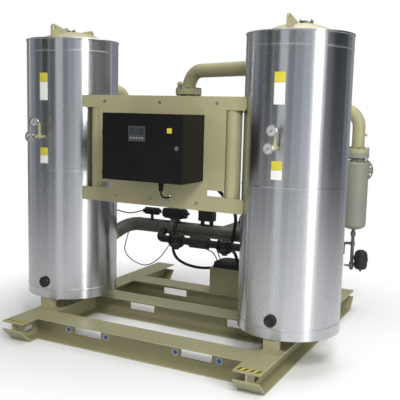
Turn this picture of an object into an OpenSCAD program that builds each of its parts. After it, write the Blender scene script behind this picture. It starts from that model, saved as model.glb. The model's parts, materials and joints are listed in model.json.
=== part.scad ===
// Twin-tower desiccant air dryer on a steel skid, in millimetres.
// X runs along the front, Y from front to back, Z up, from the floor under the middle of the skid.

/* [Skid] */
// Width of the skid over both side beams
skid_width = 2054; // [2040:1:2070]
// Depth of the skid from front tip to rear tip
skid_depth = 2280; // [2260:5:2300]
// Height of every beam
beam_height = 163; // [160:1:166]
// Flange width of the side beams
side_flange = 184; // [180:1:188]
// Flange width of the cross beams
cross_flange = 204; // [200:1:206]
// Height of the turned-up runner tips
tip_rise = 92; // [85:1:95]
// Width of each fork slot
fork_width = 237; // [220:1:240]
// Height of each fork slot
fork_height = 60; // [50:1:70]

/* [Towers] */
// Distance of each tower from the middle of the skid
tower_offset = 940; // [938:1:942]
// Radius of the polished jacket
jacket_radius = 357; // [355:1:358]
// Height of the jacket's lower edge above the floor
jacket_base = 259; // [257:1:262]
// Height of the jacket from edge to edge
jacket_height = 2000; // [1998:1:2004]
// Radius of the pressure vessel
vessel_radius = 300; // [298:1:301]
// Wall of the pressure vessel
vessel_wall = 8; // [7:1:9]

/* [Control panel] */
// Height of the panel's lower edge above the floor
panel_base = 1050; // [1046:1:1054]
// Height of the panel sheet
panel_height = 790; // [786:1:794]
// Width of the cabinet
cabinet_width = 630; // [620:1:640]
// Height of the cabinet
cabinet_height = 456; // [450:1:460]
// Depth of the cabinet with its door
cabinet_depth = 305; // [300:1:310]

/* [Piping] */
// Outside diameter of the outlet pipes
outlet_pipe = 108; // [106:1:110]
// Outside diameter of the inlet manifold
inlet_pipe = 114; // [112:1:116]
// Height of the outlet header behind the panel
header_height = 1480; // [1470:1:1482]
// Height of the inlet manifold's axis
inlet_height = 762; // [760:1:765]

/* [Hidden] */
$fn = 96;

khaki = [0.62, 0.61, 0.46];
polished = [0.78, 0.79, 0.81];
charcoal = [0.09, 0.09, 0.1];
bare_steel = [0.38, 0.36, 0.34];
wool = [0.8, 0.76, 0.6];

// Skid
flange_plate = 10;
web_plate = 8;
tip_run = 95;
half_depth = skid_depth / 2;
side_x = (skid_width - side_flange) / 2;
cross_half = skid_width / 2 - side_flange;
front_cross_y = -862;
middle_cross_y = -100;
rear_cross_y = 470;
fork_centre = 453;
fork_z = 85;
lash_y = 962;
lash_z = 66;
lash_length = 90;
lash_height = 46;
foot_bolt = 12;
foot_bolt_gap = 52;

// Towers
tower_y = -408;
jacket_sheet = 2;
jacket_top = jacket_base + jacket_height;
jacket_lap = 1256;
base_hole = 312;
roof_hole = 270;
head_depth = vessel_radius / 2;
head_low = 430;
head_high = 2180;
head_step = 9;
lug_plate = 14;
lug_hole = 26;
leg_width = 100;
leg_plate = 8;
leg_reach = 345;
leg_top = 640;
foot_plate = 10;
foot_width = 130;
foot_depth = 84;
fill_shift = 36;
fill_z = 2338;
port_z = 386;
port_pipe = 60;
port_reach = jacket_radius + 12;
gauge_z = 1518;
gauge_boss = 36;
gauge_tube = 21;
boss_reach = vessel_radius + 22;
nozzle_reach = jacket_radius + 8;
inlet_reach = jacket_radius + 38;
bed_low = 482;
bed_high = 2060;
screen_plate = 10;

// Gauges
gauge_fronts = [-935, -885];
gauge_heights = [gauge_z + 2, 1629];
gauge_case = 40;
riser_y = -818;
pivot_radius = 2;
running_gap = 0.05;

// Panel and cabinet
panel_front = -645;
panel_sheet = 5;
panel_half = 665;
plate_half = 523;
plate_notch = [1151, 1749];
band_return = 30;
return_half = 600;
post_radius = 57;
post_x = 555;
bracket_plate = 10;
bracket_inner = 620;
bracket_length = 170;
bracket_heights = [1065, 1760];
bracket_tall = 70;
cabinet_x = 45.5;
cabinet_base = 1257;
cabinet_sheet = 2;
door_depth = 20;
door_rim = 10;
door_gap = 1;
lip_width = 16;
lip_gap = 0.2;
hinge_radius = 6;
hinge_pin = 3;
hinge_x = cabinet_x - cabinet_width / 2 - hinge_radius - 1;
hinge_y = panel_front - cabinet_depth + door_depth;
hinge_heights = [cabinet_base + 60, cabinet_base + cabinet_height - 120];
cabinet_front = panel_front - cabinet_depth;
latch_x = 318;
latch_z = 1492;
latch_shaft = 8;
window_x = [-58, 74];
window_z = [1526, 1629];
window_edge = 6;
gland_at = [115, -800];
hose_entry = [320, 1300, 34];
cable_entry = [100, 1125, 24];

// Outlet piping
pipe_wall = 4;
bead = 8;
bead_rise = 3;
root_gap = 0.5;
bend_radius = 152;
tight_bend = 102;
header_y = 70;
left_drop_x = -766;
right_drop_x = -147;
tee_x = (left_drop_x + right_drop_x) / 2;
left_nozzle_z = 1888;
right_nozzle_z = 2055;
line_z = 1786;
left_joint_z = 1675;
right_joint_z = 1893;
flange_radius = 105;
flange_thick = 22;
flange_pcd = 175;
flange_hole = 19;
flange_bolt = 16;
flange_bolts_each = 8;
seat_offset = 134;
seat_radius = 36;
check_disc_radius = 40;
hub_radius = 6;
check_pin_z = 41;
check_pin = 3;

// After-filter
filter_x = 1026;
filter_y = 1000;
filter_joint_z = 1416;
filter_plate = 40;
filter_flange_radius = 98;
filter_pcd = 160;
filter_radius = 102;
filter_base = 744;
filter_outlet_z = 1255;
connection_y = 1180;
drain_z = 425;
drain_tube = 30;
lever_reach = 28;
drain_offset = 80;
drain_stub = 32;

// Inlet piping
manifold_y = 80;
manifold_corner = 700;
inlet_x = 200;
valve_xs = [-255, 450];
valve_body_radius = 78;
valve_body_width = 46;
disc_radius = 51.5;
spindle_radius = 8;
actuator_base = 845;
actuator_top = 925;
actuator_length = 210;
purge_y = -60;
purge_z = 690;
purge_tube = 60;
purge_xs = [-160, 275];
silencer_x = 52;

// Cable and hose routes, from one end to the other
panel_route = [[-848, -63, 905], [-815, 5, 880], [-750, 50, 856], [-675, 62, 852], [-605, 76, 872],
               [-553, 80, 885]];
cabinet_route = [[115, -800, 1185], [113, -785, 1150], [105, -715, 1128], [100, -630, 1122],
                 [40, -440, 1080], [-70, -120, 960], [-98, 20, 906], [-118, 70, 888], [-150, 80, 885]];
sensor_route = [[-690, 54, 707], [-700, 22, 620], [-690, -20, 548], [-645, -40, 498], [-570, -52, 459],
                [-465, -58, 440], [-375, -60, 475], [-290, -60, 552], [-219, -60, 655]];
signal_route = [[-90, 51, 712], [-75, 44, 690], [-25, 62, 664], [5, 110, 618], [10, 200, 578],
                [6, 300, 535], [2, 360, 485], [0, 404, 440]];
hose_route = [[170, 440, 463], [180, 395, 500], [210, 300, 550], [245, 180, 600], [275, 85, 642],
              [298, 25, 685], [318, -2, 755], [335, -10, 850], [348, -40, 945], [348, -180, 1060],
              [332, -420, 1215], [321, -570, 1290], [320, -645, 1300]];
cord_sides = 8;

function unit(v) = v / norm(v);
function drop_x(side) = side < 0 ? left_drop_x : right_drop_x;
function outlet_aim(side) = unit([drop_x(side) - side * tower_offset, header_y - tower_y, 0]);
function outlet_z(side) = side < 0 ? left_nozzle_z : right_nozzle_z;
function tower_axis(side) = [side * tower_offset, tower_y, 0];
function outlet_start(side) = tower_axis(side) + [0, 0, outlet_z(side)] + nozzle_reach * outlet_aim(side);
function inlet_aim(side) = unit([side * (manifold_corner - tower_offset), manifold_y - tower_y, 0]);
inlet_fall = 0.5;
corner_distance = norm([manifold_corner - tower_offset, manifold_y - tower_y]);
function inlet_point(side, reach) = tower_axis(side) + reach * inlet_aim(side)
                                    + [0, 0, inlet_height - inlet_fall * (corner_distance - reach)];

// Puts its children at a point, with their Z axis turned to a direction
module aim(point, direction) {
  translate(point)
    rotate([0, acos(direction[2] / norm(direction)), atan2(direction[1], direction[0])])
      children();
}

module rod(a, b, dia) {
  aim(a, b - a) cylinder(h = norm(b - a), d = dia);
}

function turn(points, i) = acos(unit(points[i] - points[i - 1]) * unit(points[i + 1] - points[i]));
function setback(points, i, radius) =
  i == 0 || i == len(points) - 1 ? 0 : radius * tan(turn(points, i) / 2);

// Part of a ring that joins two straight lengths at a corner
module bend(corner, d_in, d_out, radius, dia) {
  along = unit(d_in);
  leave = unit(d_out);
  angle = acos(along * leave);
  inward = unit(leave - (along * leave) * along);
  centre = corner - radius * tan(angle / 2) * along + radius * inward;
  outward = -inward;
  normal = cross(outward, along);
  multmatrix([[outward[0], along[0], normal[0], centre[0]],
              [outward[1], along[1], normal[1], centre[1]],
              [outward[2], along[2], normal[2], centre[2]],
              [0, 0, 0, 1]])
    rotate_extrude(angle = angle) translate([radius, 0]) circle(d = dia);
}

module bends(points, radius, dia) {
  if (len(points) > 2)
    for (i = [1 : len(points) - 2])
      bend(points[i], points[i] - points[i - 1], points[i + 1] - points[i], radius, dia);
}

// Where the straight length after point i starts and ends, moved outwards by extra at each bend
function straight(points, i, radius, extra) =
  let (way = unit(points[i + 1] - points[i]), last = len(points) - 2)
    [points[i] + (setback(points, i, radius) - (i == 0 ? 0 : extra)) * way,
     points[i + 1] - (setback(points, i + 1, radius) - (i == last ? 0 : extra)) * way];

// A round bar along a list of points, with a weld bead round each end of each bend
module run(points, radius, dia) {
  bends(points, radius, dia);
  for (i = [0 : len(points) - 2]) {
    ends = straight(points, i, radius, -root_gap);
    way = unit(points[i + 1] - points[i]);
    rod(ends[0], ends[1], dia);
    if (i > 0) rod(ends[0] - bead / 2 * way, ends[0] + bead / 2 * way, dia + bead_rise);
    if (i < len(points) - 2) rod(ends[1] - bead / 2 * way, ends[1] + bead / 2 * way, dia + bead_rise);
  }
}

// The inside of such a run, a little narrower in its straight lengths and open at both ends
module hollow(points, radius, dia) {
  bends(points, radius, dia);
  count = len(points) - 1;
  for (i = [0 : count - 1]) {
    ends = straight(points, i, radius, 3);
    way = unit(points[i + 1] - points[i]);
    rod(ends[0] - (i == 0 ? 1 : 0) * way, ends[1] + (i == count - 1 ? 1 : 0) * way, dia - 2);
  }
}

module around(count, pcd) {
  for (i = [0 : count - 1]) rotate((i + 0.5) * 360 / count) translate([pcd / 2, 0, 0]) children();
}

module flange(bore) {
  difference() {
    cylinder(h = flange_thick, r = flange_radius);
    translate([0, 0, -1]) cylinder(h = flange_thick + 2, d = bore);
    around(flange_bolts_each, flange_pcd) translate([0, 0, -1])
      cylinder(h = flange_thick + 2, d = flange_hole);
  }
}

// A bolt with its nut; the parts between head and nut are grip thick
module hex_bolt(dia, grip) {
  head = 0.65 * dia;
  cylinder(h = grip, d = dia);
  translate([0, 0, grip]) cylinder(h = head, d = 1.75 * dia, $fn = 6);
  translate([0, 0, -head]) cylinder(h = head, d = 1.75 * dia, $fn = 6);
  translate([0, 0, -head - 0.5 * dia]) cylinder(h = head, d = dia);
}

module slot_hole(length, height) {
  square([length - height, height], center = true);
  for (side = [-1, 1]) translate([side * (length - height) / 2, 0]) circle(d = height);
}

// Skid beams

module foot_places() {
  for (end = [-1, 1], step = [-1, 1])
    translate([step * foot_bolt_gap / 2, end * (leg_reach - 20), 0]) children();
}

module side_beam(side) {
  slope = atan(tip_rise / tip_run);
  inner_bend = half_depth - tip_run - flange_plate * tan(slope / 2);
  tip_top = tip_rise + flange_plate / cos(slope);
  color(khaki) translate([side * side_x, 0, 0]) difference() {
    union() {
      translate([-side_flange / 2, -half_depth, beam_height - flange_plate])
        cube([side_flange, skid_depth, flange_plate]);
      rotate([90, 0, 90]) translate([0, 0, -side_flange / 2]) linear_extrude(side_flange)
        polygon([[-half_depth, tip_rise], [-half_depth + tip_run, 0], [half_depth - tip_run, 0],
                 [half_depth, tip_rise], [half_depth, tip_top], [inner_bend, flange_plate],
                 [-inner_bend, flange_plate], [-half_depth, tip_top]]);
      rotate([90, 0, 90]) translate([0, 0, -web_plate / 2]) linear_extrude(web_plate)
        difference() {
          polygon([[-half_depth, tip_rise + 2], [-half_depth + tip_run, 2], [half_depth - tip_run, 2],
                   [half_depth, tip_rise + 2], [half_depth, beam_height - 2],
                   [-half_depth, beam_height - 2]]);
          for (end = [-1, 1]) translate([end * lash_y, lash_z]) slot_hole(lash_length, lash_height);
        }
    }
    translate([side * (tower_offset - side_x), tower_y, beam_height - 2 * flange_plate])
      foot_places() cylinder(h = 3 * flange_plate, d = foot_bolt + 2);
  }
}

module left_side_beam() { side_beam(-1); }
module right_side_beam() { side_beam(1); }

module cross_beam(y) {
  color(khaki) translate([0, y, 0]) difference() {
    union() {
      for (z = [0, beam_height - flange_plate])
        translate([-cross_half, -cross_flange / 2, z]) cube([2 * cross_half, cross_flange, flange_plate]);
      translate([-side_x + web_plate / 2, -web_plate / 2, flange_plate])
        cube([2 * side_x - web_plate, web_plate, beam_height - 2 * flange_plate]);
    }
    for (side = [-1, 1])
      translate([side * fork_centre - fork_width / 2, -web_plate, fork_z - fork_height / 2])
        cube([fork_width, 2 * web_plate, fork_height]);
  }
}

module front_cross_beam() { cross_beam(front_cross_y); }
module middle_cross_beam() { cross_beam(middle_cross_y); }
module rear_cross_beam() { cross_beam(rear_cross_y); }

// Pressure vessels, each with its legs, nozzles, bed screens and panel brackets welded on

module dished(radius, depth) {
  rotate_extrude() polygon([
    for (a = [-90 : head_step : 0]) [radius * cos(a), head_low + depth * sin(a)],
    for (a = [0 : head_step : 90]) [radius * cos(a), head_high + depth * sin(a)]
  ]);
}

module legs(grow) {
  foot_top = beam_height + foot_plate;
  tall = leg_top - foot_top + grow;
  for (end = [-1, 1]) rotate(end * 90) {
    translate([leg_reach - leg_plate - grow, -leg_width / 2 - grow, foot_top])
      cube([leg_plate + 2 * grow, leg_width + 2 * grow, tall]);
    for (edge = [-1, 1])
      translate([vessel_radius - 20, edge * (leg_width - leg_plate) / 2 - leg_plate / 2 - grow, foot_top])
        cube([leg_reach - vessel_radius + 20 - leg_plate, leg_plate + 2 * grow, tall]);
  }
}

module feet() {
  difference() {
    for (end = [-1, 1])
      translate([-foot_width / 2, end * (leg_reach - 24) - foot_depth / 2, beam_height])
        cube([foot_width, foot_depth, foot_plate]);
    translate([0, 0, beam_height - 1]) foot_places() cylinder(h = foot_plate + 2, d = foot_bolt + 2);
  }
}

// Everything that leaves the vessel through the insulation, larger by grow where it cuts a way
module branches(side, grow) {
  aim([0, 0, outlet_z(side)], outlet_aim(side)) cylinder(h = nozzle_reach, d = outlet_pipe + 2 * grow);
  rod(inlet_point(side, 150) - tower_axis(side), inlet_point(side, inlet_reach) - tower_axis(side),
      inlet_pipe + 2 * grow);
  translate([0, 0, port_z]) rotate([90, 0, 0]) cylinder(h = port_reach, d = port_pipe + 2 * grow);
  translate([0, 0, gauge_z]) rotate([90, 0, 0]) cylinder(h = boss_reach, d = gauge_boss + 2 * grow);
  bracket_start = tower_offset - bracket_inner;
  for (z = bracket_heights)
    translate([side < 0 ? bracket_start - bracket_length : -bracket_start - grow,
               panel_front + panel_sheet - tower_y - grow, z - grow])
      cube([bracket_length + grow, bracket_plate + 2 * grow, bracket_tall + 2 * grow]);
}

// The way of the gauge pipe out through the insulation and the jacket
module gauge_way() {
  translate([0, 0, gauge_z]) rotate([90, 0, 0]) cylinder(h = port_reach, d = gauge_tube + 6);
}

module bores(side) {
  aim([0, 0, outlet_z(side)], outlet_aim(side))
    cylinder(h = nozzle_reach + 1, d = outlet_pipe - 2 * pipe_wall);
  rod(inlet_point(side, 200) - tower_axis(side), inlet_point(side, inlet_reach + 2) - tower_axis(side),
      inlet_pipe - 2 * pipe_wall);
  translate([0, 0, port_z]) rotate([90, 0, 0]) cylinder(h = port_reach + 1, d = port_pipe - 2 * pipe_wall);
  translate([0, 0, gauge_z]) rotate([90, 0, 0]) cylinder(h = boss_reach + 1, d = gauge_boss / 3);
  translate([side * fill_shift, 0, fill_z - 60]) cylinder(h = 80, d = 60);
}

module bed_screen(z) {
  translate([0, 0, z]) difference() {
    cylinder(h = screen_plate, r = vessel_radius - vessel_wall + 1);
    for (ring = [1 : 3], i = [1 : 6 * ring])
      rotate(60 * i / ring) translate([75 * ring, 0, -1]) cylinder(h = screen_plate + 2, d = 40);
  }
}

module vessel(side) {
  color(khaki) translate(tower_axis(side)) {
    difference() {
      union() {
        dished(vessel_radius, head_depth);
        branches(side, 0);
        legs(0);
        feet();
        translate([side * fill_shift, 0, head_high + 100]) cylinder(h = fill_z - head_high - 100, d = 76);
      }
      dished(vessel_radius - vessel_wall, head_depth - vessel_wall);
      bores(side);
    }
    bed_screen(bed_low - screen_plate);
    bed_screen(bed_high);
  }
}

module left_vessel() { vessel(-1); }
module right_vessel() { vessel(1); }

module lifting_lugs() {
  color(khaki) for (side = [-1, 1], end = [-1, 1]) translate(tower_axis(side)) difference() {
    rotate(end * 90) rotate([90, 0, 0]) translate([0, 0, -lug_plate / 2]) linear_extrude(lug_plate)
      difference() {
        polygon([[264, 2230], [264, 2352], [250, 2367], [228, 2367], [80, 2333], [80, 2300]]);
        translate([234, 2338]) circle(d = lug_hole);
      }
    dished(vessel_radius, head_depth);
  }
}

module desiccant(side) {
  color("white") translate(tower_axis(side) + [0, 0, bed_low])
    cylinder(h = bed_high - bed_low, r = vessel_radius - vessel_wall - 1);
}

module left_desiccant() { desiccant(-1); }
module right_desiccant() { desiccant(1); }

module insulation(side) {
  color(wool) translate(tower_axis(side)) difference() {
    translate([0, 0, jacket_base + jacket_sheet])
      cylinder(h = jacket_height - 2 * jacket_sheet, r = jacket_radius - jacket_sheet);
    translate([0, 0, jacket_base]) cylinder(h = jacket_height, r = vessel_radius);
    branches(side, 2);
    gauge_way();
    legs(2);
    for (end = [-1, 1]) rotate(end * 90) translate([vessel_radius - 20, -leg_width / 2, jacket_base])
      cube([leg_reach - vessel_radius + 20, leg_width, leg_top - jacket_base + 2]);
  }
}

module left_insulation() { insulation(-1); }
module right_insulation() { insulation(1); }

// Polished jackets: each shell is turned in one piece with its rim, lap and raised band

module jacket(side, profile) {
  color(polished) translate(tower_axis(side)) difference() {
    rotate_extrude() polygon(profile);
    branches(side, 3);
    gauge_way();
    for (end = [-1, 1]) rotate(end * 90)
      translate([vessel_radius, -leg_width / 2 - 6, jacket_base - 1])
        cube([leg_reach + 5 - vessel_radius, leg_width + 12, jacket_sheet + 2]);
  }
}

module lower_jacket(side) {
  r = jacket_radius;
  t = jacket_sheet;
  band_z = 330;
  jacket(side, [[base_hole, jacket_base], [r, jacket_base], [r, band_z - 6], [r + 2, band_z - 4],
                [r + 2, band_z + 4], [r, band_z + 6], [r, jacket_lap], [r - t, jacket_lap],
                [r - t, jacket_base + t], [base_hole, jacket_base + t]]);
}

module upper_jacket(side) {
  r = jacket_radius;
  t = jacket_sheet;
  lap = r + 0.3;
  band_z = 2163;
  jacket(side, [[lap, jacket_lap - 8], [lap + t, jacket_lap - 8], [lap + t, jacket_lap + 6],
                [r, jacket_lap + 10], [r, band_z - 6], [r + 2, band_z - 4], [r + 2, band_z + 4],
                [r, band_z + 6], [r, jacket_top - 14], [r + 4, jacket_top - 11], [r + 5, jacket_top - 5],
                [r + 3, jacket_top], [roof_hole, jacket_top], [roof_hole, jacket_top - t],
                [r - t, jacket_top - t], [r - t, jacket_lap + 8], [lap, jacket_lap + 3]]);
}

module left_lower_jacket() { lower_jacket(-1); }
module right_lower_jacket() { lower_jacket(1); }
module left_upper_jacket() { upper_jacket(-1); }
module right_upper_jacket() { upper_jacket(1); }

module fill_caps() {
  color("silver") for (side = [-1, 1])
    translate(tower_axis(side) + [side * fill_shift, 0, fill_z]) rotate_extrude()
      polygon([[0, -30], [29.5, -30], [29.5, 0], [48, 0], [48, 8], [34, 24], [0, 24]]);
}

module port_plugs() {
  color("silver") for (side = [-1, 1])
    translate(tower_axis(side) + [0, -port_reach, port_z]) rotate([90, 0, 0]) rotate_extrude()
      polygon([[0, -24], [25.7, -24], [25.7, 0], [42, 0], [42, 4], [36, 9], [26, 9], [22, 5], [0, 5]]);
}

// Gauges on the front of each tower

module gauge_pipe(side) {
  x = side * tower_offset;
  color(khaki) {
    run([[x, tower_y - boss_reach, gauge_z], [x, gauge_fronts[0] + gauge_case, gauge_z]], 20, gauge_tube);
    run([[x, riser_y, gauge_z], [x, riser_y, gauge_heights[1]],
         [x, gauge_fronts[1] + gauge_case, gauge_heights[1]]], 20, gauge_tube);
    translate([x, riser_y - 19, gauge_z]) rotate([-90, 0, 0]) cylinder(h = 38, d = 30);
    translate([x, riser_y, gauge_z]) cylinder(h = 24, d = 30);
  }
}

module left_gauge_pipe() { gauge_pipe(-1); }
module right_gauge_pipe() { gauge_pipe(1); }

module on_gauge(side, level) {
  translate([side * tower_offset, gauge_fronts[level], gauge_heights[level]]) rotate([-90, 0, 0]) children();
}

// A round dial case with a raised rim, a recessed dial and a pivot hole
module gauge(side, level) {
  color("gainsboro") on_gauge(side, level) difference() {
    rotate_extrude() polygon([[0, gauge_case], [14, gauge_case], [14, 32], [30, 32], [33, 28], [33, 10],
                              [36, 8], [36, 1], [35, 0], [31, 0], [31, 8], [0, 8]]);
    translate([0, 0, 5]) cylinder(h = 9, r = pivot_radius + running_gap);
  }
}

module left_upper_gauge() { gauge(-1, 1); }
module left_lower_gauge() { gauge(-1, 0); }
module right_upper_gauge() { gauge(1, 1); }
module right_lower_gauge() { gauge(1, 0); }

module needle(side, level) {
  color("black") on_gauge(side, level) rotate(135) {
    translate([0, 0, 5]) cylinder(h = 8, r = pivot_radius);
    translate([0, 0, 4]) cylinder(h = 3.4, r = 4);
    translate([0, 0, 5]) linear_extrude(1.6)
      polygon([[-11, -2.4], [0, -3], [25, -0.8], [25, 0.8], [0, 3], [-11, 2.4]]);
  }
}

module left_upper_needle() { needle(-1, 1); }
module left_lower_needle() { needle(-1, 0); }
module right_upper_needle() { needle(1, 1); }
module right_lower_needle() { needle(1, 0); }

// Panel between the towers: a cut sheet with folded edges, welded to two round posts

module control_panel() {
  post_y = panel_front + panel_sheet + post_radius;
  color(khaki) {
    difference() {
      rotate([90, 0, 0]) translate([0, 0, -panel_front - panel_sheet]) linear_extrude(panel_sheet)
        difference() {
          translate([-panel_half, panel_base]) square([2 * panel_half, panel_height]);
          for (side = [-1, 1]) {
            translate([side > 0 ? plate_half : -panel_half - 1, plate_notch[0]])
              square([panel_half - plate_half + 1, plate_notch[1] - plate_notch[0]]);
            translate([side * (plate_half - 66) - 63, 1157]) square([126, 40]);
          }
        }
      for (at = [cable_entry, hose_entry]) translate([at[0], panel_front - 1, at[1]]) rotate([-90, 0, 0])
        cylinder(h = panel_sheet + 2, d = at[2]);
    }
    for (z = [panel_base, panel_base + panel_height - panel_sheet])
      translate([-return_half, panel_front + panel_sheet, z])
        cube([2 * return_half, band_return, panel_sheet]);
    for (side = [-1, 1]) difference() {
      translate([side * post_x, post_y, panel_base + panel_sheet])
        cylinder(h = panel_height - 2 * panel_sheet, r = post_radius);
      translate([side * post_x, post_y, panel_base]) cylinder(h = panel_height, r = post_radius - pipe_wall);
    }
  }
}

// Cabinet with a hinged door

// An upright slab in the cabinet's outline, taken in by inset on all four sides
module cabinet_slab(inset, front, deep) {
  translate([cabinet_x - cabinet_width / 2 + inset, front, cabinet_base + inset])
    cube([cabinet_width - 2 * inset, deep, cabinet_height - 2 * inset]);
}

// The folded box, and the lip frame that is tacked into its mouth for the door's seal and the latch
module cabinet_box() {
  front = hinge_y + door_gap;
  deep = panel_front - front;
  color(charcoal) {
    difference() {
      cabinet_slab(0, front, deep);
      cabinet_slab(cabinet_sheet, front - 1, deep - cabinet_sheet + 1);
      translate([gland_at[0], gland_at[1], cabinet_base - 1]) cylinder(h = cabinet_sheet + 2, d = 30);
    }
    difference() {
      cabinet_slab(cabinet_sheet + lip_gap, front, cabinet_sheet);
      cabinet_slab(lip_width, front - 1, cabinet_sheet + 2);
    }
    for (z = hinge_heights) translate([hinge_x, hinge_y, z]) {
      cylinder(h = 60, r = hinge_radius);
      translate([0, 0, -24]) cylinder(h = 84, r = hinge_pin);
      translate([0, 3, 0]) cube([hinge_radius + 2, 14, 60]);
    }
    translate([gland_at[0], gland_at[1], 0]) difference() {
      union() {
        translate([0, 0, 1185]) cylinder(h = cabinet_base + 12 - 1185, d = 32);
        translate([0, 0, 1222]) cylinder(h = cabinet_base - 1222, d = 44, $fn = 6);
        translate([0, 0, cabinet_base + cabinet_sheet]) cylinder(h = 8, d = 42, $fn = 6);
      }
      translate([0, 0, 1195]) cylinder(h = 100, d = 22);
    }
  }
}

module cabinet_door() {
  left = cabinet_x - cabinet_width / 2;
  color(charcoal) {
    difference() {
      translate([left, cabinet_front, cabinet_base]) cube([cabinet_width, door_depth, cabinet_height]);
      translate([left + door_rim, cabinet_front + cabinet_sheet, cabinet_base + door_rim])
        cube([cabinet_width - 2 * door_rim, door_depth, cabinet_height - 2 * door_rim]);
      translate([latch_x, cabinet_front - 1, latch_z]) rotate([-90, 0, 0])
        cylinder(h = cabinet_sheet + 2, r = latch_shaft + running_gap);
      translate([window_x[0] + window_edge, cabinet_front - 1, window_z[0] + window_edge])
        cube([window_x[1] - window_x[0] - 2 * window_edge, cabinet_sheet + 2,
              window_z[1] - window_z[0] - 2 * window_edge]);
    }
    for (z = hinge_heights) difference() {
      translate([hinge_x, hinge_y, z - 25]) {
        cylinder(h = 24, r = hinge_radius);
        translate([0, 4 - door_depth, 0]) cube([hinge_radius + 2, door_depth - 4, 24]);
      }
      translate([hinge_x, hinge_y, z - 26]) cylinder(h = 26, r = hinge_pin + running_gap);
    }
  }
}

module door_latch() {
  tongue_y = door_depth + 4;
  color("silver") translate([latch_x, cabinet_front, latch_z]) {
    translate([0, -1, 0]) rotate([-90, 0, 0]) cylinder(h = tongue_y + 4, r = latch_shaft);
    translate([0, -7, 0]) rotate([-90, 0, 0]) cylinder(h = 6.5, r = 15);
    translate([-4, -14, -13]) cube([8, 8, 26]);
    translate([-7, tongue_y, -38]) cube([14, 3, 38]);
  }
}

module display_window() {
  wide = window_x[1] - window_x[0];
  tall = window_z[1] - window_z[0];
  color("dimgray") translate([window_x[0], cabinet_front, window_z[0]]) difference() {
    union() {
      translate([0, -3, 0]) cube([wide, 3, tall]);
      translate([window_edge + 1, 0, window_edge + 1])
        cube([wide - 2 * window_edge - 2, 16, tall - 2 * window_edge - 2]);
    }
    translate([12, -4, 44]) cube([wide - 24, 2.5, tall - 56]);
  }
}

module control_board() {
  board_y = panel_front - cabinet_sheet - 12;
  color("lightgray") translate([cabinet_x, board_y, cabinet_base]) {
    translate([-270, 0, 30]) cube([540, 3, cabinet_height - 60]);
    for (x = [-255, 255], z = [45, cabinet_height - 45])
      translate([x, 3, z]) rotate([-90, 0, 0]) cylinder(h = 9, d = 12);
    for (x = [-240, -90, 60]) translate([x, -60, 240]) cube([130, 60, 120]);
    translate([-240, -35, 190]) cube([480, 35, 10]);
    for (i = [0 : 11]) translate([-238 + 40 * i, -50, 110]) cube([30, 50, 60]);
  }
}

// Outlet piping: nozzle, elbow and flange of each tower, and the header behind the panel

module left_outlet_pipe() {
  route = [outlet_start(-1), [left_drop_x, header_y, left_nozzle_z], [left_drop_x, header_y, left_joint_z]];
  color(khaki) difference() {
    union() {
      run(route, tight_bend, outlet_pipe);
      translate([left_drop_x, header_y, left_joint_z]) flange(outlet_pipe - 2);
    }
    hollow(route, tight_bend, outlet_pipe - 2 * pipe_wall);
  }
}

module right_outlet_pipe() {
  route = [outlet_start(1), [right_drop_x, header_y, right_nozzle_z],
           [right_drop_x, header_y, right_joint_z]];
  color(khaki) difference() {
    union() {
      run(route, bend_radius, outlet_pipe);
      translate([right_drop_x, header_y, right_joint_z]) flange(outlet_pipe - 2);
      translate([right_drop_x - 78, header_y, 1950]) rotate([0, 90, 0]) cylinder(h = 78, d = 22);
      translate([right_drop_x - 96, header_y, 1950]) rotate([0, 90, 0]) cylinder(h = 26, d = 46);
    }
    hollow(route, bend_radius, outlet_pipe - 2 * pipe_wall);
  }
}

function header_route() = [[left_drop_x, header_y, left_joint_z], [left_drop_x, header_y, header_height],
                           [right_drop_x, header_y, header_height], [right_drop_x, header_y, right_joint_z]];
function line_route() = [[tee_x, header_y, header_height], [tee_x, filter_y, header_height],
                         [tee_x, filter_y, line_z], [filter_x, filter_y, line_z],
                         [filter_x, filter_y, filter_joint_z]];

// A rod along Y where a swinging disc hangs
module at_check_pin(side, half, radius) {
  translate([tee_x + side * (seat_offset - 3.5), header_y, header_height + check_pin_z]) rotate([90, 0, 0])
    translate([0, 0, -half]) cylinder(h = 2 * half, r = radius);
}

// The ring that a swinging disc closes on, notched for its hub, and the pin that it hangs from
module check_seat(side) {
  difference() {
    translate([tee_x + side * seat_offset, header_y, header_height]) rotate([0, side * 90, 0]) difference() {
      cylinder(h = 6, d = outlet_pipe - pipe_wall);
      translate([0, 0, -1]) cylinder(h = 8, r = seat_radius);
    }
    at_check_pin(side, 13, hub_radius + 1.5);
  }
  at_check_pin(side, 32, check_pin);
}

module outlet_header() {
  color(khaki) {
    difference() {
      union() {
        run(header_route(), bend_radius, outlet_pipe);
        run(line_route(), bend_radius, outlet_pipe);
        for (side = [-1, 1])
          translate([tee_x + side * seat_offset, header_y, header_height]) rotate([0, 90, 0])
            translate([0, 0, -44]) cylinder(h = 88, d = outlet_pipe + 28);
        for (z = [left_joint_z, right_joint_z])
          translate([z == left_joint_z ? left_drop_x : right_drop_x, header_y, z - flange_thick])
            flange(outlet_pipe - 2);
        translate([filter_x, filter_y, filter_joint_z]) difference() {
          cylinder(h = filter_plate, r = filter_flange_radius);
          around(flange_bolts_each, filter_pcd) translate([0, 0, -1])
            cylinder(h = filter_plate + 2, d = flange_hole);
        }
        translate([filter_x, filter_y, 1571]) rotate([0, 90, 0]) cylinder(h = 72, d = 22);
      }
      hollow(header_route(), bend_radius, outlet_pipe - 2 * pipe_wall);
      hollow(line_route(), bend_radius, outlet_pipe - 2 * pipe_wall);
    }
    for (side = [-1, 1]) check_seat(side);
  }
}

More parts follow.
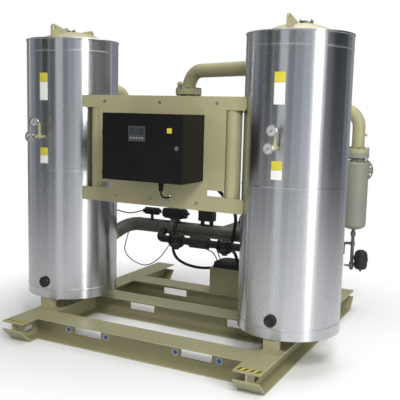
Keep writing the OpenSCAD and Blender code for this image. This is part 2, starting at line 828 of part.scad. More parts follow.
module check_disc(side) {
  color("silver") translate([tee_x + side * (seat_offset - 3.5), header_y, header_height]) {
    difference() {
      union() {
        rotate([0, 90, 0]) translate([0, 0, -3]) cylinder(h = 6, r = check_disc_radius);
        translate([0, 0, check_pin_z]) rotate([90, 0, 0]) translate([0, 0, -10])
          cylinder(h = 20, r = hub_radius);
        translate([-3, -10, 20]) cube([6, 20, check_pin_z - 20]);
      }
      translate([0, 0, check_pin_z]) rotate([90, 0, 0]) translate([0, 0, -50])
        cylinder(h = 100, r = check_pin + running_gap);
    }
  }
}

module left_check_disc() { check_disc(-1); }
module right_check_disc() { check_disc(1); }

module bolts() {
  color("silver") {
    for (side = [-1, 1]) translate(tower_axis(side) + [0, 0, beam_height - flange_plate])
      foot_places() hex_bolt(foot_bolt, foot_plate + flange_plate);
    for (at = [[left_drop_x, left_joint_z], [right_drop_x, right_joint_z]])
      translate([at[0], header_y, at[1] - flange_thick]) around(flange_bolts_each, flange_pcd)
        hex_bolt(flange_bolt, 2 * flange_thick);
    translate([filter_x, filter_y, filter_joint_z - filter_plate]) around(flange_bolts_each, filter_pcd)
      hex_bolt(flange_bolt, 2 * filter_plate);
  }
}

// After-filter with its drain

module filter_vessel() {
  r = filter_radius;
  low = filter_base + 50;
  high = 1322;
  neck = 62;
  color(khaki) difference() {
    union() {
      translate([filter_x, filter_y, 0]) rotate_extrude() polygon([
        for (a = [-90 : head_step : 0]) [r * cos(a), low + 50 * sin(a)],
        for (a = [0 : head_step : 54]) [neck + (r - neck) * cos(a), high + 24 * sin(a)],
        [neck, 1350], [neck, filter_joint_z - filter_plate],
        [filter_flange_radius, filter_joint_z - filter_plate],
        [filter_flange_radius, filter_joint_z], [0, filter_joint_z]
      ]);
      translate([filter_x, filter_y, filter_outlet_z]) rotate([-90, 0, 0])
        cylinder(h = connection_y - filter_y, d = outlet_pipe);
      translate([filter_x, connection_y - flange_thick, filter_outlet_z]) rotate([-90, 0, 0])
        flange(outlet_pipe - 2);
      translate([filter_x, filter_y, 1266]) rotate([0, 90, 0]) cylinder(h = r + 24, d = 22);
    }
    translate([filter_x, filter_y, 0]) rotate_extrude() polygon([
      for (a = [-90 : head_step : 0]) [(r - 6) * cos(a), low + 44 * sin(a)],
      [r - 6, high], [50, high + 14], [50, filter_joint_z + 1], [0, filter_joint_z + 1]
    ]);
    translate([filter_x, filter_y, filter_outlet_z]) rotate([-90, 0, 0])
      cylinder(h = connection_y - filter_y + 1, d = outlet_pipe - 2 * pipe_wall);
    translate([filter_x, filter_y, filter_joint_z - filter_plate - 1])
      around(flange_bolts_each, filter_pcd) cylinder(h = filter_plate + 2, d = flange_hole);
    translate([filter_x, filter_y, filter_base - 1]) cylinder(h = 20, d = drain_tube / 2);
  }
}

module filter_element() {
  color("white") translate([filter_x, filter_y, 0]) rotate_extrude()
    polygon([[0, 860], [58, 860], [58, 872], [52, 875], [52, 1285], [58, 1288], [58, 1300], [50, 1300],
             [50, filter_joint_z], [38, filter_joint_z], [38, 1290], [30, 1280], [30, 885], [0, 885]]);
}

module drain_pipe() {
  color(bare_steel) translate([filter_x, filter_y, 0]) {
    difference() {
      union() {
        translate([0, 0, drain_z - 40]) cylinder(h = filter_base - drain_z + 40, d = drain_tube);
        translate([0, 0, 688]) cylinder(h = 34, d = 46, $fn = 8);
        translate([0, 0, 600]) cylinder(h = 34, d = 40);
        run([[0, 0, 617], [-78, 0, 617], [-78, 0, 515]], 26, 24);
        translate([0, 0, drain_z - 22]) cylinder(h = 44, d = 44, $fn = 8);
        rod([0, 0, 500], [drain_stub, 0, 500], 24);
        rod([0, 0, drain_z], [0, -24, drain_z], 22);
      }
      translate([0, 0, drain_z - 41]) cylinder(h = 400, d = 16);
      rod([0, -16, drain_z], [0, -30, drain_z], 10 + 2 * running_gap);
    }
  }
}

module drain_lever() {
  color("silver") translate([filter_x, filter_y, drain_z]) {
    rod([0, -17, 0], [0, -lever_reach - 6, 0], 10);
    difference() {
      translate([-58, -lever_reach - 6, -9]) cube([70, 4, 18]);
      translate([-46, -lever_reach - 7, 0]) rotate([-90, 0, 0]) cylinder(h = 6, d = 8);
    }
  }
}

module auto_drain() {
  color(charcoal) translate([filter_x + drain_offset, filter_y, 0]) difference() {
    rotate_extrude() polygon([[0, 378], [9, 378], [9, 396], [30, 396], [48, 404], [56, 424], [58, 474],
                              [62, 476], [62, 496], [58, 498], [56, 530], [46, 554], [26, 566], [0, 568]]);
    translate([-drain_offset, 0, 500]) rotate([0, 90, 0]) cylinder(h = drain_stub, d = 24);
  }
}

// Inlet manifold with its two butterfly valves

function manifold_route() = [inlet_point(-1, inlet_reach), [-manifold_corner, manifold_y, inlet_height],
                             [manifold_corner, manifold_y, inlet_height], inlet_point(1, inlet_reach)];
function inlet_route() = [[inlet_x, manifold_y, inlet_height], [inlet_x, connection_y, inlet_height]];

module inlet_manifold() {
  color(bare_steel) difference() {
    union() {
      run(manifold_route(), bend_radius, inlet_pipe);
      run(inlet_route(), bend_radius, inlet_pipe);
      translate([inlet_x, connection_y - flange_thick, inlet_height]) rotate([-90, 0, 0])
        flange(inlet_pipe - 2);
      for (x = valve_xs) translate([x, manifold_y, inlet_height]) {
        rotate([0, 90, 0]) translate([0, 0, -valve_body_width / 2])
          cylinder(h = valve_body_width, r = valve_body_radius);
        translate([0, 0, valve_body_radius - 10]) cylinder(h = actuator_base - inlet_height - 74, d = 40);
        translate([-35, -35, actuator_base - inlet_height - 8]) cube([70, 70, 8]);
      }
    }
    hollow(manifold_route(), bend_radius, inlet_pipe - 2 * pipe_wall);
    hollow(inlet_route(), bend_radius, inlet_pipe - 2 * pipe_wall);
    for (x = valve_xs) translate([x, manifold_y, inlet_height])
      cylinder(h = actuator_base - inlet_height + 1, r = spindle_radius + running_gap);
  }
}

module valve_disc(x) {
  color("silver") translate([x, manifold_y, inlet_height]) {
    rotate([0, 90, 0]) translate([0, 0, -4]) cylinder(h = 8, r = disc_radius);
    translate([0, 0, -50]) cylinder(h = 50 + actuator_top - inlet_height + 4, r = spindle_radius);
    translate([0, 0, actuator_top - inlet_height + 1]) cylinder(h = 14, d = 46);
    translate([-20, -5, actuator_top - inlet_height + 14]) cube([40, 10, 7]);
  }
}

module left_valve_disc() { valve_disc(valve_xs[0]); }
module right_valve_disc() { valve_disc(valve_xs[1]); }

// A rack actuator: a ribbed body between two end caps
module actuator(x) {
  tall = actuator_top - actuator_base;
  color(charcoal) translate([x, manifold_y, actuator_base]) difference() {
    union() {
      translate([-actuator_length / 2 + 24, -42, 0]) cube([actuator_length - 48, 84, tall]);
      for (z = [12 : 18 : 66]) translate([-actuator_length / 2 + 24, -46, z])
        cube([actuator_length - 48, 92, 6]);
      for (side = [-1, 1]) translate([side * (actuator_length / 2 - 12), 0, tall / 2]) rotate([0, 90, 0])
        translate([0, 0, -12]) cylinder(h = 24, d = 78);
    }
    translate([0, 0, -1]) cylinder(h = tall + 2, r = spindle_radius + 0.3);
  }
}

module left_actuator() { actuator(valve_xs[0]); }
module right_actuator() { actuator(valve_xs[1]); }

// Purge line under the manifold: two angle valves, their links to the manifold and a silencer

module purge_pipe() {
  left = purge_xs[0] - 168;
  right = valve_xs[1] + 90;
  rise = [0, manifold_y - purge_y, inlet_height - purge_z];
  color(charcoal) difference() {
    union() {
      run([[left, purge_y, purge_z] + rise, [left, purge_y, purge_z],
           [right, purge_y, purge_z], [right, purge_y, purge_z] + rise], 45, purge_tube);
      translate([silencer_x, purge_y, purge_z]) rotate([0, 90, 0]) rotate_extrude()
        polygon([[0, -92], [34, -92], [46, -80], [46, 80], [34, 92], [0, 92]]);
      for (x = purge_xs) translate([x, purge_y, purge_z]) {
        translate([0, 0, -62]) rotate_extrude()
          polygon([[0, -14], [22, -14], [24, 0], [34, 0], [52, 10], [60, 24], [60, 34], [44, 46],
                   [38, 80], [44, 96], [30, 104], [0, 104]]);
        for (step = [-1, 1]) translate([52 * step - 7, 0, 0]) rotate([0, 90, 0]) cylinder(h = 14, d = 88);
      }
    }
    manifold_core();
  }
}

// The straight stretch of the manifold, cut away from what is welded or clamped to it
module manifold_core() {
  translate([-600, manifold_y, inlet_height]) rotate([0, 90, 0]) cylinder(h = 1200, d = inlet_pipe);
}

// Small boxes on the pipework and the rear beam

module pilot_block() {
  x = -478;
  color(charcoal) difference() {
    union() {
      translate([x - 75, manifold_y - 30, 870]) cube([150, 60, 30]);
      translate([x, manifold_y, 885]) rotate([0, 90, 0]) translate([0, 0, -62]) cylinder(h = 124, d = 62);
      for (step = [-1, 1]) translate([x + 34 * step, manifold_y, 885]) rotate([90, 0, 0])
        cylinder(h = 44, d = 34);
      translate([x, manifold_y, inlet_height]) cylinder(h = 110, d = 26);
    }
    manifold_core();
  }
}

module solenoid_box() {
  x = 45;
  color(charcoal) difference() {
    union() {
      translate([x - 62, manifold_y - 40, 850]) cube([124, 80, 96]);
      translate([x - 66, manifold_y - 44, 930]) cube([132, 88, 18]);
      for (step = [-1, 1]) translate([x + 40 * step - 12, manifold_y - 14, inlet_height]) cube([24, 28, 90]);
    }
    manifold_core();
  }
}

module supply_box() {
  color(khaki) {
    translate([-60, 376, beam_height]) cube([360, 190, 222]);
    translate([-64, 372, 378]) cube([368, 198, 12]);
    for (x = [-76, 300]) translate([x, 420, beam_height]) cube([16, 60, 6]);
  }
}

module box_hood() {
  color(charcoal) intersection() {
    translate([-30, 471, 375]) rotate([0, 90, 0]) cylinder(h = 310, r = 95);
    translate([125, 571, 70]) rotate([90, 0, 0]) cylinder(h = 200, r = 400);
    translate([-30, 372, 390]) cube([310, 198, 90]);
  }
}

// Cables and hoses

// A smooth curve through the points of a route, cut into a few steps between each two
function spline(route, steps) = let (last = len(route) - 1) [
  for (i = [0 : last - 1], k = [0 : steps - 1])
    let (a = route[max(i - 1, 0)], b = route[i], c = route[i + 1],
         d = route[min(i + 2, last)], t = k / steps)
      0.5 * (2 * b + (c - a) * t + (2 * a - 5 * b + 4 * c - d) * t ^ 2 + (3 * b - a - 3 * c + d) * t ^ 3),
  route[last]
];

module cord(route, dia, steps, across) {
  line = spline(route, steps);
  last = len(line) - 1;
  corners = [
    for (i = [0 : last])
      let (way = unit(line[min(i + 1, last)] - line[max(i - 1, 0)]),
           side = unit(cross(across, way)), up = cross(way, side))
        for (j = [0 : cord_sides - 1])
          line[i] + dia / 2 * (cos(360 * j / cord_sides) * side + sin(360 * j / cord_sides) * up)
  ];
  walls = [
    for (i = [0 : last - 1], j = [0 : cord_sides - 1])
      let (next = (j + 1) % cord_sides, low = i * cord_sides, high = low + cord_sides)
        [low + j, high + j, high + next, low + next]
  ];
  polyhedron(corners, concat(walls, [[for (j = [0 : cord_sides - 1]) j]],
                             [[for (j = [cord_sides - 1 : -1 : 0]) last * cord_sides + j]]));
}

module panel_cable() { color("black") cord(panel_route, 10, 2, [0, 0.2, 1]); }
module cabinet_cable() { color("black") cord(cabinet_route, 14, 2, [1, 0.2, 0]); }
module sensor_cable() { color("black") cord(sensor_route, 8, 2, [0.1, 1, 0]); }
module signal_cable() { color("black") cord(signal_route, 10, 2, [1, 0.1, 0]); }
module supply_hose() { color("black") cord(hose_route, 28, 2, [1, 0, 0]); }

left_side_beam();
right_side_beam();
front_cross_beam();
middle_cross_beam();
rear_cross_beam();
left_vessel();
right_vessel();
left_desiccant();
right_desiccant();
left_insulation();
right_insulation();
left_lower_jacket();
right_lower_jacket();
left_upper_jacket();
right_upper_jacket();
lifting_lugs();
fill_caps();
port_plugs();
left_gauge_pipe();
right_gauge_pipe();
left_upper_gauge();
left_lower_gauge();
right_upper_gauge();
right_lower_gauge();
left_upper_needle();
left_lower_needle();
right_upper_needle();
right_lower_needle();
control_panel();
cabinet_box();
cabinet_door();
door_latch();
display_window();
control_board();
left_outlet_pipe();
right_outlet_pipe();
outlet_header();
left_check_disc();
right_check_disc();
bolts();
filter_vessel();
filter_element();
drain_pipe();
drain_lever();
auto_drain();
inlet_manifold();
left_actuator();
right_actuator();
left_valve_disc();
right_valve_disc();
purge_pipe();
pilot_block();
solenoid_box();
supply_box();
box_hood();
panel_cable();
cabinet_cable();
sensor_cable();
signal_cable();
supply_hose();
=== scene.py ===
import bpy, json, math
from mathutils import Matrix, Vector


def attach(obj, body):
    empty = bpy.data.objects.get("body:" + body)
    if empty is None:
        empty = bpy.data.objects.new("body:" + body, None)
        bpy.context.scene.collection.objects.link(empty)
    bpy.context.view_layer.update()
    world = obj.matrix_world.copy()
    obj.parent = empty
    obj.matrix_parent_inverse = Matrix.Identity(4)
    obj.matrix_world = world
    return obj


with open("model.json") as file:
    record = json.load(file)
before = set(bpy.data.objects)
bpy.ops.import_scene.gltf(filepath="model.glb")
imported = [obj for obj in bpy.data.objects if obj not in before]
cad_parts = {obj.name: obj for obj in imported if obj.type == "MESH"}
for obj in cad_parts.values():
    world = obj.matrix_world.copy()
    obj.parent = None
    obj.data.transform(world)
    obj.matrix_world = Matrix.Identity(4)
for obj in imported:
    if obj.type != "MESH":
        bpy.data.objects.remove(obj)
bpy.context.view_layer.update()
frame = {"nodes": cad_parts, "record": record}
nodes = frame["nodes"]

# The camera, fitted to the photograph: angles in degrees, place in metres, lens in mm
TURN, TILT, ROLL, LENS = 26.79, 7.6, 1.44, 59.7
CAMERA_AT = (2.408, -4.738, 1.736)

# Places that several pieces share, in metres
TOWER_X, TOWER_Y, JACKET_RADIUS = 0.94, -0.408, 0.3572
SIDES = ((-1, "left"), (1, "right"))


def add_camera():
    turn, tilt, roll = (math.radians(v) for v in (TURN, TILT, ROLL))
    ahead = Vector((-math.sin(turn) * math.cos(tilt), math.cos(turn) * math.cos(tilt), -math.sin(tilt)))
    right = Vector((math.cos(turn), math.sin(turn), 0))
    up = right.cross(ahead)
    rolled_right = math.cos(roll) * right + math.sin(roll) * up
    rolled_up = -math.sin(roll) * right + math.cos(roll) * up
    data = bpy.data.cameras.new("photo_camera")
    data.sensor_width, data.lens = 36, LENS
    camera = bpy.data.objects.new("photo_camera", data)
    facing = Matrix((rolled_right, rolled_up, -ahead)).transposed().to_4x4()
    camera.matrix_world = Matrix.Translation(CAMERA_AT) @ facing
    bpy.context.scene.collection.objects.link(camera)
    bpy.context.scene.camera = camera


add_camera()
bpy.context.scene.view_settings.view_transform = "Standard"


# Materials

def material(name, colour, second, rough, metallic=0.0, scale=6.0, stretch=(1, 1, 1), bump=0.0,
             bump_scale=400.0, edge=0.0, brushed=0.0, shine=0.5, rough_spread=0.06):
    """A procedural surface: two tints mixed by noise, uneven gloss, a fine grain and softened edges."""
    mat = bpy.data.materials.new(name)
    mat.use_nodes = True
    tree = mat.node_tree
    add, link = tree.nodes.new, tree.links.new
    shader = tree.nodes["Principled BSDF"]

    coord = add("ShaderNodeTexCoord")
    mapping = add("ShaderNodeMapping")
    mapping.inputs["Scale"].default_value = stretch
    link(coord.outputs["Object"], mapping.inputs["Vector"])
    noise = add("ShaderNodeTexNoise")
    noise.inputs["Scale"].default_value = scale
    noise.inputs["Detail"].default_value = 6
    link(mapping.outputs["Vector"], noise.inputs["Vector"])

    tints = add("ShaderNodeMix")
    tints.data_type = "RGBA"
    tints.inputs["A"].default_value = (*colour, 1)
    tints.inputs["B"].default_value = (*second, 1)
    spread = add("ShaderNodeMapRange")
    spread.inputs["From Min"].default_value = 0.25
    spread.inputs["From Max"].default_value = 0.75
    link(noise.outputs["Fac"], spread.inputs["Value"])
    link(spread.outputs["Result"], tints.inputs["Factor"])
    link(tints.outputs["Result"], shader.inputs["Base Color"])

    gloss = add("ShaderNodeMapRange")
    gloss.inputs["To Min"].default_value = max(0.02, rough - rough_spread)
    gloss.inputs["To Max"].default_value = rough + rough_spread
    link(noise.outputs["Fac"], gloss.inputs["Value"])
    link(gloss.outputs["Result"], shader.inputs["Roughness"])
    shader.inputs["Metallic"].default_value = metallic
    shader.inputs["Specular IOR Level"].default_value = shine

    if brushed:
        shader.inputs["Anisotropic"].default_value = brushed
        upright = add("ShaderNodeCombineXYZ")
        upright.inputs["Z"].default_value = 1
        link(upright.outputs["Vector"], shader.inputs["Tangent"])

    normal = None
    if edge:
        softened = add("ShaderNodeBevel")
        softened.samples = 4
        softened.inputs["Radius"].default_value = edge
        normal = softened.outputs["Normal"]
    if bump:
        grain = add("ShaderNodeTexNoise")
        grain.inputs["Scale"].default_value = bump_scale
        link(mapping.outputs["Vector"], grain.inputs["Vector"])
        raised = add("ShaderNodeBump")
        raised.inputs["Strength"].default_value = bump
        raised.inputs["Distance"].default_value = 0.0005
        link(grain.outputs["Fac"], raised.inputs["Height"])
        if normal:
            link(normal, raised.inputs["Normal"])
        normal = raised.outputs["Normal"]
    if normal:
        link(normal, shader.inputs["Normal"])
    return mat


# One material for each slot of the record
MATS = {
    "frame_paint": material("khaki_paint", (0.325, 0.31, 0.178), (0.285, 0.27, 0.155), 0.42,
                            scale=3, bump=0.25, edge=0.002, shine=0.35),
    "desiccant": material("white_beads", (0.75, 0.75, 0.72), (0.6, 0.6, 0.57), 0.7,
                          scale=150, bump=0.8, bump_scale=300),
    "insulation": material("mineral_wool", (0.5, 0.45, 0.28), (0.4, 0.36, 0.22), 0.9,
                           scale=40, bump=1.0, bump_scale=200),
    "jacket": material("polished_sheet", (0.56, 0.565, 0.58), (0.50, 0.505, 0.52), 0.27, 1.0,
                       scale=4, stretch=(1, 1, 0.25), bump=0.03, bump_scale=4, brushed=0.88,
                       rough_spread=0.03),
    "fitting": material("zinc_steel", (0.50, 0.50, 0.49), (0.38, 0.38, 0.38), 0.32, 1.0,
                        scale=30, bump=0.1, edge=0.0006),
    "gauge": material("gauge_case_steel", (0.6, 0.6, 0.61), (0.52, 0.52, 0.53), 0.25, 1.0,
                      scale=20, edge=0.0006),
    "needle": material("needle_black", (0.012, 0.012, 0.012), (0.02, 0.02, 0.02), 0.5, scale=50),
    "cabinet_paint": material("black_powder_coat", (0.0065, 0.006, 0.006), (0.009, 0.0085, 0.0085), 0.42,
                              scale=8, bump=0.3, bump_scale=900, edge=0.002, shine=0.12),
    "display": material("display_frame", (0.05, 0.05, 0.052), (0.04, 0.04, 0.042), 0.3,
                        scale=10, edge=0.001, shine=0.3),
    "board": material("grey_boards", (0.45, 0.45, 0.44), (0.38, 0.38, 0.37), 0.5, scale=12, edge=0.001),
    "pipe_metal": material("grey_pipe", (0.15, 0.142, 0.13), (0.085, 0.08, 0.074), 0.42, 0.3,
                           scale=9, bump=0.3, bump_scale=120, edge=0.0015, shine=0.3),
    "black_casting": material("black_casting", (0.014, 0.014, 0.015), (0.026, 0.025, 0.024), 0.45,
                              scale=14, bump=0.5, bump_scale=350, edge=0.0015, shine=0.2),
    "cable": material("cable_sheath", (0.009, 0.009, 0.010), (0.016, 0.016, 0.016), 0.5,
                      scale=30, bump=0.15, shine=0.2),
}
for part in frame["record"]["subparts"]:
    slots = nodes[part["node"]].data.materials
    slots.clear()
    slots.append(MATS[part["material_slot"]])

# The after-filter is greyer than the rest in the photograph
nodes["filter_vessel"].data.materials[0] = material("grey_green_paint", (0.225, 0.23, 0.185),
                                                    (0.20, 0.205, 0.165), 0.45, scale=3, bump=0.25,
                                                    edge=0.002, shine=0.3)

WHITE = material("white_face", (0.66, 0.66, 0.64), (0.60, 0.60, 0.58), 0.45, scale=12, shine=0.3)
YELLOW = material("yellow_plate", (0.50, 0.445, 0.05), (0.45, 0.40, 0.045), 0.45, scale=12, shine=0.3)
BLUE = material("blue_disc", (0.03, 0.12, 0.42), (0.028, 0.11, 0.38), 0.4, scale=20)
INK = material("black_mark", (0.012, 0.012, 0.012), (0.02, 0.02, 0.02), 0.45, scale=30)
SCREEN = material("dark_screen", (0.012, 0.016, 0.018), (0.016, 0.02, 0.022), 0.08, scale=20,
                  rough_spread=0.01)
KEY = material("grey_keys", (0.17, 0.175, 0.18), (0.14, 0.145, 0.15), 0.45, scale=30, edge=0.0005)
GLASS = material("clear_lens", (0.95, 0.95, 0.95), (0.93, 0.94, 0.94), 0.03, scale=3, rough_spread=0.005)
GLASS.node_tree.nodes["Principled BSDF"].inputs["Transmission Weight"].default_value = 1.0


# Helpers for the pieces

def place(data, name, mat, body):
    piece = bpy.data.objects.new(name, data)
    bpy.context.scene.collection.objects.link(piece)
    data.materials.append(mat)
    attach(piece, body)
    return piece


def solid(name, verts, faces, mat, body, smooth=False, round_edges=0.0):
    mesh = bpy.data.meshes.new(name)
    mesh.from_pydata([tuple(v) for v in verts], [], faces)
    mesh.update()
    if smooth:
        mesh.shade_smooth()
        mesh.set_sharp_from_angle(angle=math.radians(35))
    piece = place(mesh, name, mat, body)
    if round_edges:
        bevel = piece.modifiers.new("edges", "BEVEL")
        bevel.width, bevel.segments, bevel.limit_method = round_edges, 2, "ANGLE"
    return piece


def prism(name, low, high, mat, body, round_edges=0.0):
    """A four-sided plate or block between two rings of four points that run the same way."""
    quads = [(3, 2, 1, 0), (4, 5, 6, 7), (0, 1, 5, 4), (1, 2, 6, 5), (2, 3, 7, 6), (3, 0, 4, 7)]
    return solid(name, list(low) + list(high), quads, mat, body, round_edges=round_edges)


def block(name, low, high, mat, body, round_edges=0.0):
    (x0, y0, z0), (x1, y1, z1) = low, high
    rings = [[(x0, y0, z), (x1, y0, z), (x1, y1, z), (x0, y1, z)] for z in (z0, z1)]
    return prism(name, *rings, mat, body, round_edges)


def lathe(name, point, axis, profile, mat, body, sides=32):
    """A turned piece: profile is (radius, height) pairs along axis from point."""
    along = Vector(axis).normalized()
    across = along.orthogonal().normalized()
    third = along.cross(across)
    verts, faces = [], []
    for radius, height in profile:
        for i in range(sides):
            a = 2 * math.pi * i / sides
            spoke = across * math.cos(a) + third * math.sin(a)
            verts.append(Vector(point) + along * height + spoke * radius)
    for k in range(len(profile) - 1):
        for i in range(sides):
            j = (i + 1) % sides
            faces.append((k * sides + i, k * sides + j, (k + 1) * sides + j, (k + 1) * sides + i))
    faces.append(tuple(reversed(range(sides))))
    faces.append(tuple((len(profile) - 1) * sides + i for i in range(sides)))
    return solid(name, verts, faces, mat, body, smooth=True)


def tower_plate(name, side, centre_z, height, mat, width=0.074, thick=0.0004, steps=10):
    """A thin plate bent round the front of a tower's jacket."""
    verts, faces = [], []
    for i in range(steps + 1):
        a = math.radians(-90) + (i / steps - 0.5) * width / JACKET_RADIUS
        for radius in (JACKET_RADIUS, JACKET_RADIUS + thick):
            for z in (centre_z - height / 2, centre_z + height / 2):
                verts.append((TOWER_X * side + radius * math.cos(a), TOWER_Y + radius * math.sin(a), z))
    for i in range(steps):
        a, b = 4 * i, 4 * i + 4
        faces += [(a + 2, b + 2, b + 3, a + 3), (a, a + 1, b + 1, b),
                  (a, b, b + 2, a + 2), (a + 1, a + 3, b + 3, b + 1)]
    last = 4 * steps
    faces += [(0, 2, 3, 1), (last, last + 1, last + 3, last + 2)]
    return solid(name, verts, faces, mat, "frame")


def cable(name, points, diameter, steps=6):
    """A cable from the first point to the last: a smooth curve through points."""
    spots = [Vector(p) for p in points]
    line = []
    for i in range(len(spots) - 1):
        a, b, c, d = spots[max(i - 1, 0)], spots[i], spots[i + 1], spots[min(i + 2, len(spots) - 1)]
        for k in range(steps):
            t = k / steps
            bend = (2 * a - 5 * b + 4 * c - d) * t ** 2 + (3 * b - a - 3 * c + d) * t ** 3
            line.append((2 * b + (c - a) * t + bend) / 2)
    line.append(spots[-1])
    curve = bpy.data.curves.new(name, "CURVE")
    curve.dimensions, curve.bevel_depth, curve.bevel_resolution = "3D", diameter / 2, 3
    curve.use_fill_caps = True
    spline = curve.splines.new("POLY")
    spline.points.add(len(line) - 1)
    for spot, place_at in zip(spline.points, line):
        spot.co = (*place_at, 1)
    piece = place(curve, name, MATS["cable"], "frame")


# Cables between the purge valves, the actuator and the supply box
cable("purge_cable", [(-0.19, -0.06, 0.645), (-0.19, -0.052, 0.59), (-0.182, 0.0, 0.522),
                      (-0.165, 0.10, 0.462), (-0.14, 0.22, 0.415), (-0.11, 0.33, 0.385),
                      (-0.07, 0.42, 0.372)], 0.024)
cable("actuator_cable", [(-0.17, 0.04, 0.86), (-0.172, -0.002, 0.852), (-0.178, -0.035, 0.80),
                         (-0.184, -0.05, 0.74), (-0.19, -0.06, 0.67)], 0.013)
cable("valve_cable", [(0.02, 0.42, 0.455), (0.022, 0.37, 0.51), (0.05, 0.28, 0.572),
                      (0.12, 0.16, 0.61), (0.21, 0.03, 0.62), (0.30, -0.04, 0.63)], 0.009)

# Plain label plates on the towers: name, middle and height in metres, and material
LABELS = [("upper_label_top", 1.9625, 0.065, YELLOW), ("upper_label_low", 1.8600, 0.136, WHITE),
          ("lower_label_top", 1.4060, 0.058, YELLOW), ("lower_label_low", 1.3455, 0.060, WHITE)]
for side, sd in SIDES:
    for label, z, height, mat in LABELS:
        tower_plate(f"{sd}_{label}", side, z, height, mat)


# Gauges: dial, scale marks and lens

def gauge_face(name, centre):
    ahead = Vector((0, -1, 0))
    dial_back, mark_back, lens_back = (centre - ahead * v for v in (0.0079, 0.0069, 0.0025))
    lathe(f"{name}_dial", dial_back, ahead, [(0.0305, 0), (0.0305, 0.0008)], WHITE, "frame")
    for i in range(11):
        a = math.radians(225 - 27 * i)
        spoke = Vector((math.cos(a), 0, math.sin(a)))
        side_way = Vector((-spoke.z, 0, spoke.x)) * 0.0007
        inner, outer = 0.022 if i % 5 == 0 else 0.025, 0.0285
        flat = [mark_back + spoke * inner - side_way, mark_back + spoke * outer - side_way,
                mark_back + spoke * outer + side_way, mark_back + spoke * inner + side_way]
        prism(f"{name}_mark_{i}", flat, [p + ahead * 0.0003 for p in flat], INK, "frame")
    lathe(f"{name}_lens", lens_back, ahead, [(0.0308, 0), (0.0308, 0.0014)], GLASS, "frame")


for side, sd in SIDES:
    gauge_face(f"{sd}_upper", Vector((TOWER_X * side, -0.885, 1.629)))
    gauge_face(f"{sd}_lower", Vector((TOWER_X * side, -0.935, 1.520)))

# Screws of the panel
SCREW = [(0.011, 0), (0.011, 0.0015), (0.0085, 0.0016), (0.0085, 0.007), (0.007, 0.008)]
for z, places in ((1.795, (-0.464, 0.007, 0.457)), (1.097, (-0.352, -0.062, 0.081, 0.317))):
    for x in places:
        lathe(f"panel_screw_{int(1000 * (x + 1))}_{int(z * 1000)}", (x, -0.6452, z), (0, -1, 0), SCREW,
              MATS["fitting"], "frame", 6)

# Screen and keys of the display, and a plain plate on the door
block("display_screen", (-0.045, -0.9528, 1.573), (0.061, -0.9518, 1.614), SCREEN, "door")
for i in range(5):
    x = -0.044 + 0.0225 * i
    block(f"display_key_{i}", (x, -0.9548, 1.542), (x + 0.0145, -0.9528, 1.556), KEY, "door", 0.0008)
block("door_yellow_plate", (0.241, -0.9506, 1.589), (0.277, -0.95005, 1.622), YELLOW, "door")

# Plain discs beside the fork slots, and striped strips on the runner ends
for side, sd in SIDES:
    for k, x in enumerate((0.29, 0.627)):
        lathe(f"{sd}_beam_disc_{k}", (side * x, -0.8662, 0.082), (0, -1, 0),
              [(0.024, 0), (0.024, 0.0004)], WHITE, "frame")
        lathe(f"{sd}_beam_disc_face_{k}", (side * x, -0.8666, 0.082), (0, -1, 0),
              [(0.018, 0), (0.018, 0.0003)], BLUE, "frame")
    strip_left = min(side * 0.850, side * 1.020)
    front, back = -1.118, -1.078
    block(f"{sd}_strip", (strip_left, front, 0.1631), (strip_left + 0.17, back, 0.1635), YELLOW, "frame")
    for k in range(4):
        x = strip_left + 0.008 + 0.043 * k
        rings = [[(x, front, z), (x + 0.018, front, z), (x + 0.034, back, z), (x + 0.016, back, z)]
                 for z in (0.1634, 0.1637)]
        prism(f"{sd}_strip_bar_{k}", *rings, INK, "frame")


# Floor, studio cards and light

def plane(name, size, where, facing, mat):
    half = size[0] / 2, size[1] / 2
    out = Vector(facing).normalized()
    x = Vector((1, 0, 0)) if abs(out.z) > 0.9 else Vector((0, 0, 1)).cross(out).normalized()
    y = out.cross(x)
    corners = [Vector(where) + x * a * half[0] + y * b * half[1]
               for a, b in ((-1, -1), (1, -1), (1, 1), (-1, 1))]
    mesh = bpy.data.meshes.new(name)
    mesh.from_pydata([tuple(c) for c in corners], [], [(0, 1, 2, 3)])
    mesh.materials.append(mat)
    piece = bpy.data.objects.new(name, mesh)
    bpy.context.scene.collection.objects.link(piece)
    return piece


def floor_material(near, far):
    """Pale floor that turns into plain white for the camera between near and far, in metres."""
    mat = bpy.data.materials.new("pale_floor")
    mat.use_nodes = True
    add, link = mat.node_tree.nodes.new, mat.node_tree.links.new
    shader = mat.node_tree.nodes["Principled BSDF"]
    shader.inputs["Base Color"].default_value = (0.82, 0.82, 0.82, 1)
    shader.inputs["Roughness"].default_value = 0.9
    shader.inputs["Specular IOR Level"].default_value = 0.0
    glow = add("ShaderNodeEmission")
    coord = add("ShaderNodeTexCoord")
    reach = add("ShaderNodeVectorMath")
    reach.operation = "LENGTH"
    link(coord.outputs["Object"], reach.inputs[0])
    fade = add("ShaderNodeMapRange")
    fade.interpolation_type = "SMOOTHSTEP"
    fade.inputs["From Min"].default_value = near
    fade.inputs["From Max"].default_value = far
    link(reach.outputs["Value"], fade.inputs["Value"])
    paths = add("ShaderNodeLightPath")
    share = add("ShaderNodeMath")
    share.operation = "MULTIPLY"
    link(fade.outputs["Result"], share.inputs[0])
    link(paths.outputs["Is Camera Ray"], share.inputs[1])
    blend = add("ShaderNodeMixShader")
    link(share.outputs["Value"], blend.inputs["Fac"])
    link(shader.outputs["BSDF"], blend.inputs[1])
    link(glow.outputs["Emission"], blend.inputs[2])
    link(blend.outputs["Shader"], mat.node_tree.nodes["Material Output"].inputs["Surface"])
    return mat


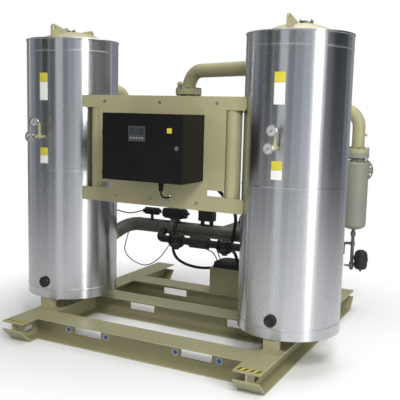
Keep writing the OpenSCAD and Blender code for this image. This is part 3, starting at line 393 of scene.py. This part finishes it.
def card(name, angle, shade, width, reach=6.8, height=7.0):
    """A grey card of the studio, seen only in reflections."""
    mat = bpy.data.materials.new(name)
    mat.use_nodes = True
    tree = mat.node_tree
    glow = tree.nodes.new("ShaderNodeEmission")
    glow.inputs["Color"].default_value = (shade * 0.93, shade, shade * 1.12, 1)
    tree.links.new(glow.outputs["Emission"], tree.nodes["Material Output"].inputs["Surface"])
    a = math.radians(angle)
    x, y = reach * math.cos(a), reach * math.sin(a)
    piece = plane(name, (width, height), (x, y, height / 2), (-x, -y, 0), mat)
    piece.visible_camera = piece.visible_diffuse = False
    piece.visible_shadow = piece.visible_transmission = False


plane("floor", (60, 60), (0, 0, 0), (0, 0, 1), floor_material(1.3, 2.6))

# The cards: direction in degrees, shade and width in metres
CARDS = [(-168, 0.34, 2.4), (-148, 0.15, 2.4), (-128, 0.03, 2.2), (-110, 0.08, 1.8), (-94, 0.7, 1.1),
         (-79, 0.20, 1.8), (-63, 0.36, 1.8), (-48, 0.55, 1.6), (-9, 0.12, 1.8), (8, 0.03, 2.4),
         (28, 0.07, 2.6), (50, 0.24, 2.6), (78, 0.34, 3.4), (107, 0.26, 3.4), (135, 0.21, 3.2),
         (163, 0.26, 3.2)]
for i, (angle, shade, width) in enumerate(CARDS):
    card(f"card_{i}", angle, shade, width)


def add_world(diffuse_level):
    """White for the camera, for reflections and through glass, and dimmer as a light."""
    world = bpy.data.worlds.new("studio")
    world.use_nodes = True
    bpy.context.scene.world = world
    add, link = world.node_tree.nodes.new, world.node_tree.links.new
    paths = add("ShaderNodeLightPath")
    seen = paths.outputs["Is Camera Ray"]
    for ray in ("Is Glossy Ray", "Is Transmission Ray"):
        either = add("ShaderNodeMath")
        either.operation = "MAXIMUM"
        link(seen, either.inputs[0])
        link(paths.outputs[ray], either.inputs[1])
        seen = either.outputs[0]
    level = add("ShaderNodeMapRange")
    level.inputs["To Min"].default_value = diffuse_level
    level.inputs["To Max"].default_value = 1.0
    link(seen, level.inputs["Value"])
    background = world.node_tree.nodes["Background"]
    link(level.outputs["Result"], background.inputs["Strength"])
    background.inputs["Color"].default_value = (1, 1, 1, 1)


def lamp(name, where, target, size, power, mirrored=True):
    data = bpy.data.lights.new(name, "AREA")
    data.shape, data.size, data.size_y, data.energy = "RECTANGLE", size[0], size[1], power
    light = bpy.data.objects.new(name, data)
    light.location = where
    light.rotation_euler = (Vector(target) - Vector(where)).to_track_quat("-Z", "Y").to_euler()
    light.visible_glossy = mirrored
    bpy.context.scene.collection.objects.link(light)


add_world(0.34)
lamp("key_light", (5.9, -3.3, 3.0), (0, 0, 1.2), (1.0, 4.5), 215)
lamp("left_light", (-3.5, -6.8, 4.0), (0, -0.3, 1.0), (2.5, 2.5), 60, mirrored=False)
lamp("front_light", (2.6, -3.9, 3.9), (0.2, -0.6, 1.8), (1.2, 1.2), 150, mirrored=False)
lamp("top_light", (0.5, 0.5, 5.5), (0, 0, 0.5), (4, 4), 170)
